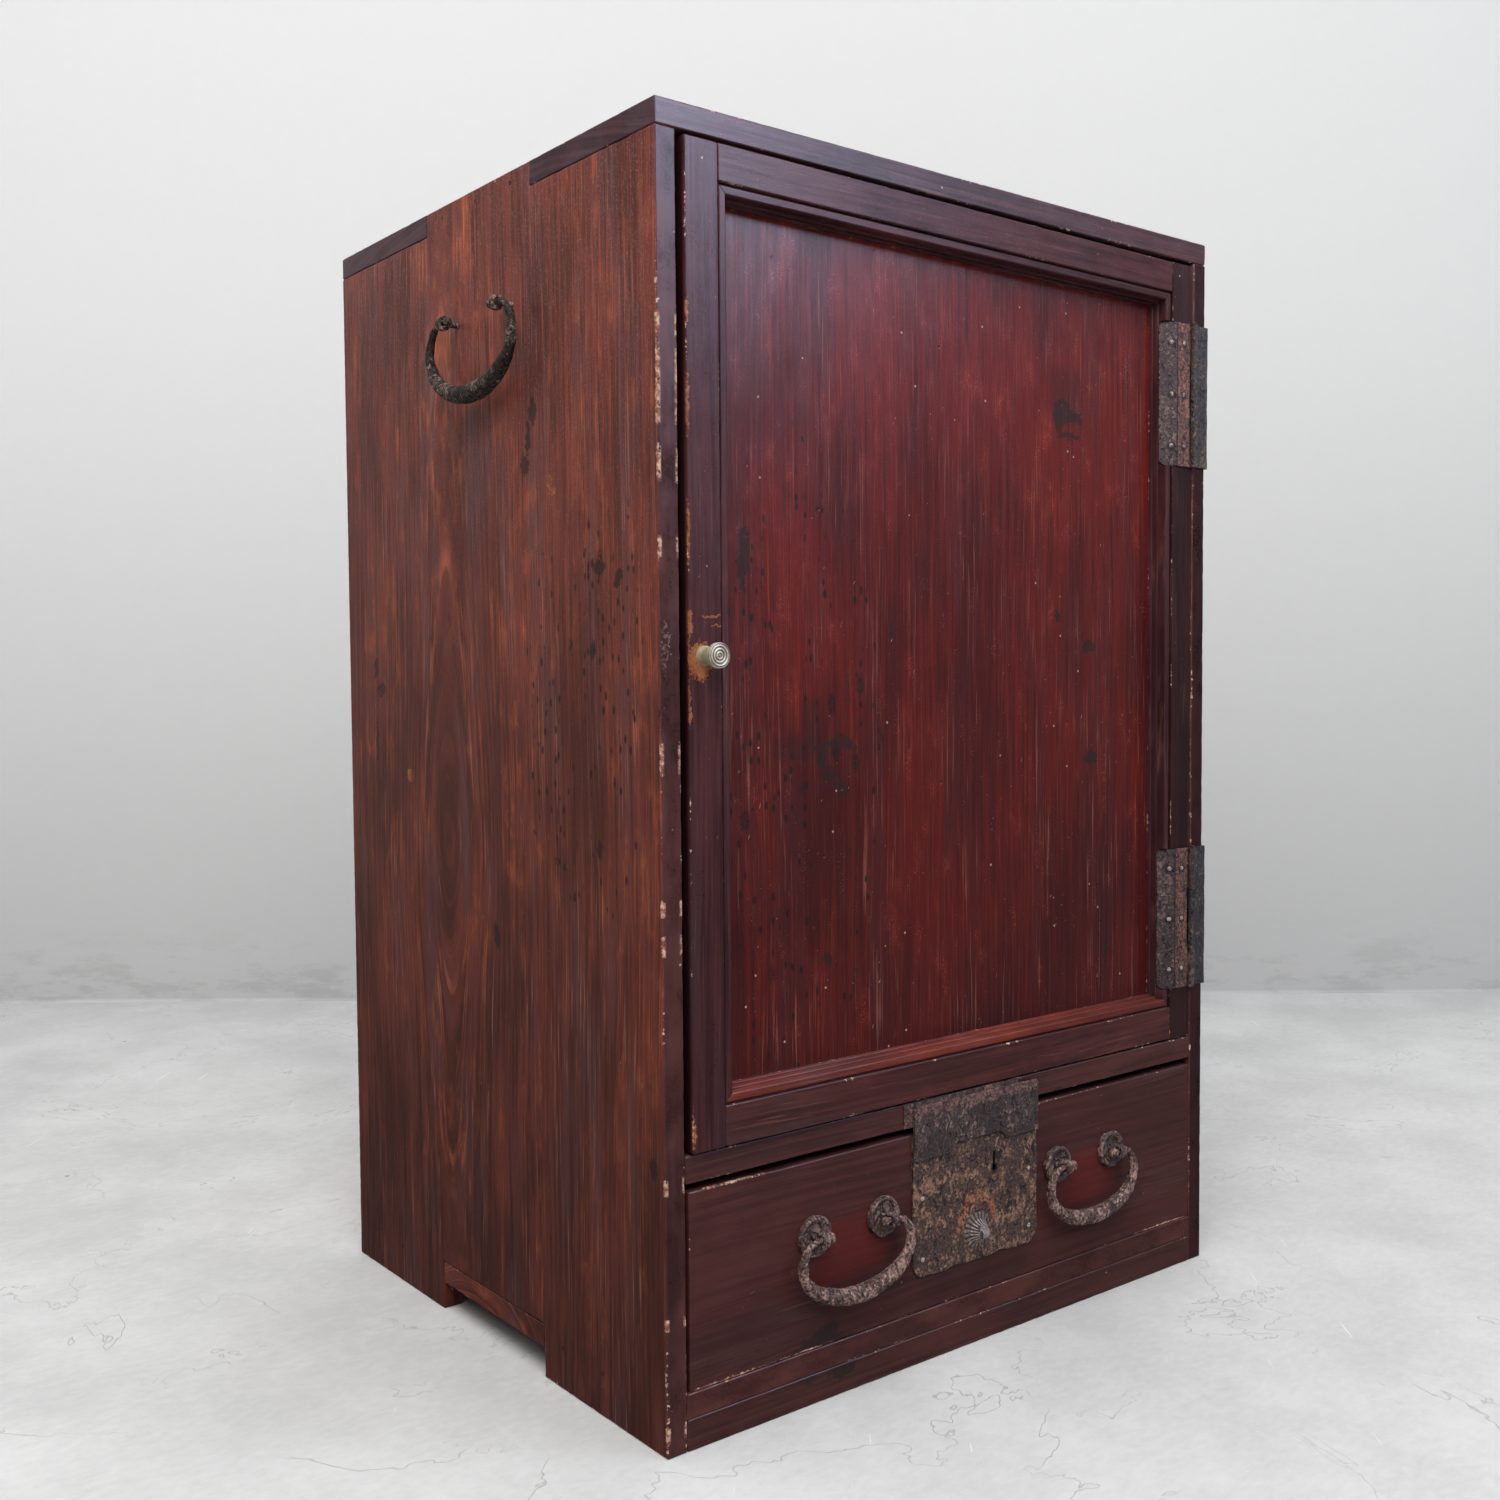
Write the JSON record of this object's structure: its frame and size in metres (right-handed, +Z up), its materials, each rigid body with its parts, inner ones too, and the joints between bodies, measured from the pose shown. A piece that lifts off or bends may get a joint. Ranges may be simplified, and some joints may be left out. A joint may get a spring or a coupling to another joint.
{
  "type": "japanese_tea_chest",
  "caption": "Small Japanese tea chest in worn red-brown lacquer, with a panelled door over a locking drawer, iron hinges and swinging handles",
  "frame": {"origin": "middle of the footprint over the knob and handles, on the floor", "axes": "+X to the viewer's right along the front, -Y out of the front (the door and drawer face -Y), +Z up"},
  "size_m": [0.4532, 0.3698, 0.65],
  "materials": {
    "case_lacquer": "thin red-brown lacquer over softwood, streaked grain, rubbed pale at the arrises",
    "frame_lacquer": "dark maroon lacquer, worn and scratched, bare wood at the most handled edges",
    "panel_lacquer": "red-brown lacquer over upright straight grain with orange streaks and dark stains",
    "plain_wood": "planed softwood, unlacquered, darkened by age",
    "peg_wood": "turned wooden pegs, cut flush",
    "rusted_iron": "thin forged iron, dull brown rust with pinkish mottling",
    "dark_iron": "blackened forged iron, dull, brown rust in the hollows",
    "knob_metal": "pale turned brass, tarnished in the grooves"
  },
  "bodies": {
    "case": {"side_board_left": "case_lacquer", "side_board_right": "case_lacquer", "top_board": "frame_lacquer", "bottom_board": "case_lacquer", "base_rail": "case_lacquer", "mid_rail": "case_lacquer", "compartment_floor": "plain_wood", "back_board_left": "plain_wood", "back_board_right": "plain_wood", "joint_pegs": "peg_wood", "back_pegs": "peg_wood", "shelf": "plain_wood", "shelf_batten_left": "plain_wood", "shelf_batten_right": "plain_wood", "door_stop_upper": "plain_wood", "door_stop_lower": "plain_wood", "drawer_stops": "plain_wood", "strike_plate": "rusted_iron", "hinge_upper_case_leaf": "rusted_iron", "hinge_lower_case_leaf": "rusted_iron", "hinge_upper_pin": "rusted_iron", "hinge_lower_pin": "rusted_iron", "case_leaf_nails": "rusted_iron", "side_eyes_left": "dark_iron", "side_eyes_right": "dark_iron"},
    "door": {"door_stile_left": "frame_lacquer", "door_stile_right": "frame_lacquer", "door_rail_top": "frame_lacquer", "door_rail_bottom": "frame_lacquer", "door_panel": "panel_lacquer", "moulding_top": "frame_lacquer", "moulding_bottom": "frame_lacquer", "moulding_left": "frame_lacquer", "moulding_right": "frame_lacquer", "door_knob": "knob_metal", "knob_nut": "rusted_iron", "hinge_upper_door_leaf": "rusted_iron", "hinge_lower_door_leaf": "rusted_iron", "door_leaf_nails": "rusted_iron"},
    "drawer": {"drawer_front": "case_lacquer", "drawer_side_left": "plain_wood", "drawer_side_right": "plain_wood", "drawer_back": "plain_wood", "drawer_bottom": "plain_wood", "drawer_pegs": "peg_wood", "lock_plate": "rusted_iron", "lock_cover": "dark_iron", "lock_body": "rusted_iron", "lock_nails": "rusted_iron", "lock_rosette": "dark_iron", "handle_rosettes": "dark_iron", "drawer_eyes": "dark_iron"},
    "bolt": {"lock_bolt": "rusted_iron"},
    "drawer_handle_left": {"drawer_bail_left": "dark_iron"},
    "drawer_handle_right": {"drawer_bail_right": "dark_iron"},
    "side_handle_left": {"side_bail_left": "dark_iron"},
    "side_handle_right": {"side_bail_right": "dark_iron"}
  },
  "joints": [
    {"name": "door_hinge", "type": "hinge", "parent": "case", "child": "door", "pos_m": [0.1971, -0.17164, 0.39], "axis": [0, 0, 1], "range_deg": [-0.4, 170]},
    {"name": "drawer_slide", "type": "slide", "parent": "case", "child": "drawer", "axis": [0, -1, 0], "range_m": [0, 0.28]},
    {"name": "bolt_slide", "type": "slide", "parent": "drawer", "child": "bolt", "axis": [0, 0, 1], "range_m": [0, 0.007]},
    {"name": "drawer_handle_left_swing", "type": "hinge", "parent": "drawer", "child": "drawer_handle_left", "pos_m": [-0.0945, -0.17764, 0.0893], "axis": [-1, 0, 0], "range_deg": [-3, 182]},
    {"name": "drawer_handle_right_swing", "type": "hinge", "parent": "drawer", "child": "drawer_handle_right", "pos_m": [0.0945, -0.17764, 0.0893], "axis": [-1, 0, 0], "range_deg": [-3, 182]},
    {"name": "side_handle_left_swing", "type": "hinge", "parent": "case", "child": "side_handle_left", "pos_m": [-0.2212, -0.00314, 0.579], "axis": [0, 1, 0], "range_deg": [-4, 183]},
    {"name": "side_handle_right_swing", "type": "hinge", "parent": "case", "child": "side_handle_right", "pos_m": [0.2212, -0.00314, 0.579], "axis": [0, -1, 0], "range_deg": [-4, 183]}
  ]
}
